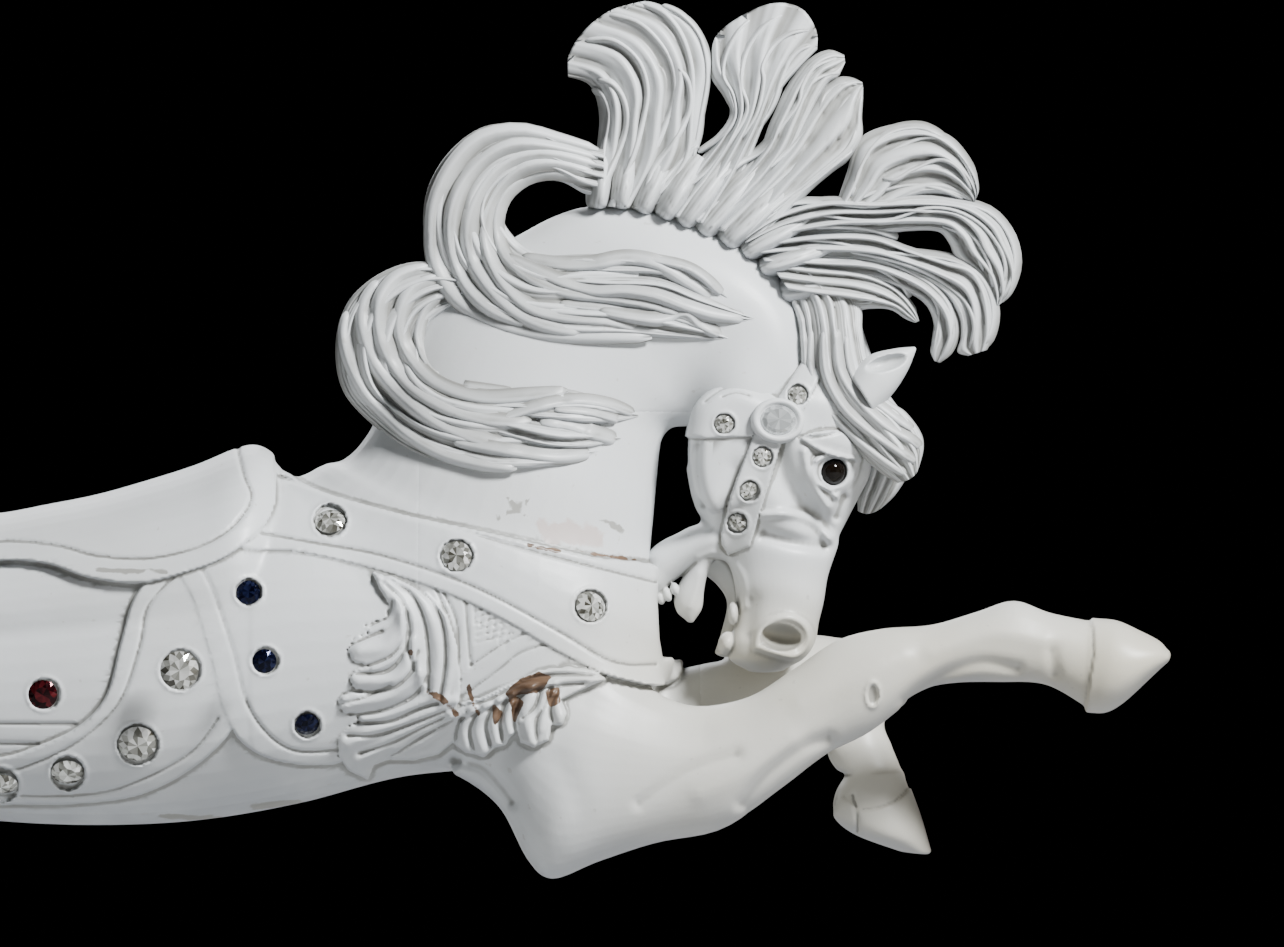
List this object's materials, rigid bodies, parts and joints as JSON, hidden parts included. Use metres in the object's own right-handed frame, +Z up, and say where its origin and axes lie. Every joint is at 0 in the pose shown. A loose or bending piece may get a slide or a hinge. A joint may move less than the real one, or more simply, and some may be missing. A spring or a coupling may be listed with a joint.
{
  "type": "carousel horse",
  "caption": "Carved and painted wooden carousel horse with a flying mane, saddle and jewelled straps, reared on its hind hooves on a low base",
  "frame": {"origin": "the middle of the base's underside", "axes": "+X is the way the horse faces, +Z is up, and the carved and jewelled side, the horse's right, faces -Y"},
  "size_m": [1.8242, 0.42, 1.2368],
  "materials": {
    "horse_paint": "white satin paint over carved wood, worn to bare wood in places",
    "base_paint": "white satin paint",
    "clear_glass": "cut clear glass with a foil back",
    "navy_glass": "cut dark blue glass with a foil back",
    "red_glass": "cut dark red glass with a foil back",
    "eye_glass": "glossy black glass"
  },
  "bodies": {
    "root": {"carved_horse": "horse_paint", "base": "base_paint", "border_jewel_1": "clear_glass", "border_jewel_2": "clear_glass", "boss_jewel": "clear_glass", "breast_strap_jewel_1": "clear_glass", "breast_strap_jewel_2": "clear_glass", "breast_strap_jewel_3": "clear_glass", "bridle_jewel_1": "clear_glass", "bridle_jewel_2": "clear_glass", "bridle_jewel_3": "clear_glass", "bridle_jewel_4": "clear_glass", "bridle_jewel_5": "clear_glass", "cloth_jewel_1": "red_glass", "cloth_jewel_2": "red_glass", "flap_jewel_1": "navy_glass", "flap_jewel_2": "navy_glass", "flap_jewel_3": "navy_glass", "left_eye": "eye_glass", "lower_border_jewel_1": "clear_glass", "lower_border_jewel_2": "clear_glass", "lower_border_jewel_3": "clear_glass", "lower_border_jewel_4": "clear_glass", "rear_border_jewel_1": "clear_glass", "rear_border_jewel_2": "clear_glass", "right_eye": "eye_glass"}
  },
  "joints": []
}
